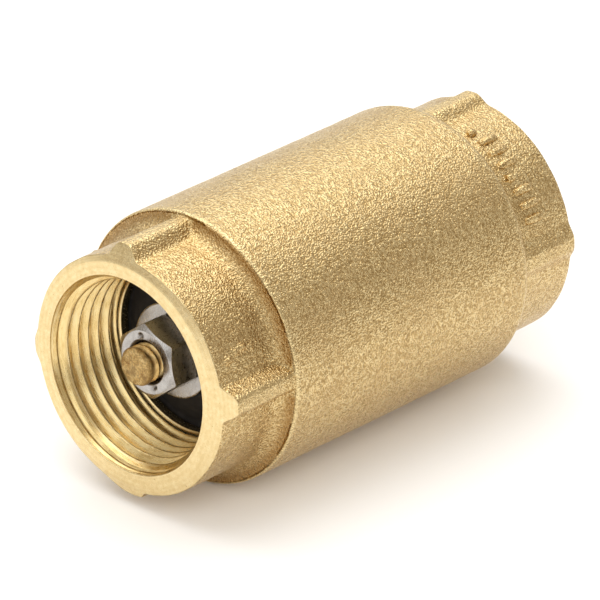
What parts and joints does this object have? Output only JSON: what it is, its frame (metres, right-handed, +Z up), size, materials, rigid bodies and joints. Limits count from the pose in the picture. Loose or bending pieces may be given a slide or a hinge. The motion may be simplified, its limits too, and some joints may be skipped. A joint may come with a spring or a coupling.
{
  "type": "in-line spring check valve",
  "caption": "Cast brass in-line check valve with ribbed wrench collars, female pipe threads and a spring-loaded poppet that opens along the flow axis.",
  "frame": {"origin": "mid-length on the flow axis", "axes": "+X along the flow from the inlet face to the outlet face, +Z up with the valve lying on its side, +Y across"},
  "size_m": [0.082, 0.0452, 0.0452],
  "materials": {
    "cast_brass": "sand-cast and shot-blasted, satin, with machined faces and threads",
    "turned_brass": "turned, fine tool marks",
    "stainless": "stainless, bright with light scratches",
    "spring_steel": "drawn stainless wire",
    "nitrile": "matt black moulded rubber",
    "acetal": "natural acetal"
  },
  "bodies": {
    "housing": {"inlet_body": "cast_brass", "outlet_cap": "cast_brass", "cap_seal_ring": "nitrile", "stem_guide": "turned_brass", "guide_bushing": "acetal", "return_spring": "spring_steel"},
    "poppet": {"poppet_stem": "turned_brass", "backing_plate": "turned_brass", "seal_disc": "nitrile", "seal_washer": "stainless", "stem_nut": "stainless"}
  },
  "joints": [
    {"name": "poppet_slide", "type": "slide", "parent": "housing", "child": "poppet", "axis": [1, 0, 0], "range_m": [0, 0.007], "stiffness_N_per_m": 300, "springref_m": -0.007, "deforming": ["return_spring"]}
  ]
}
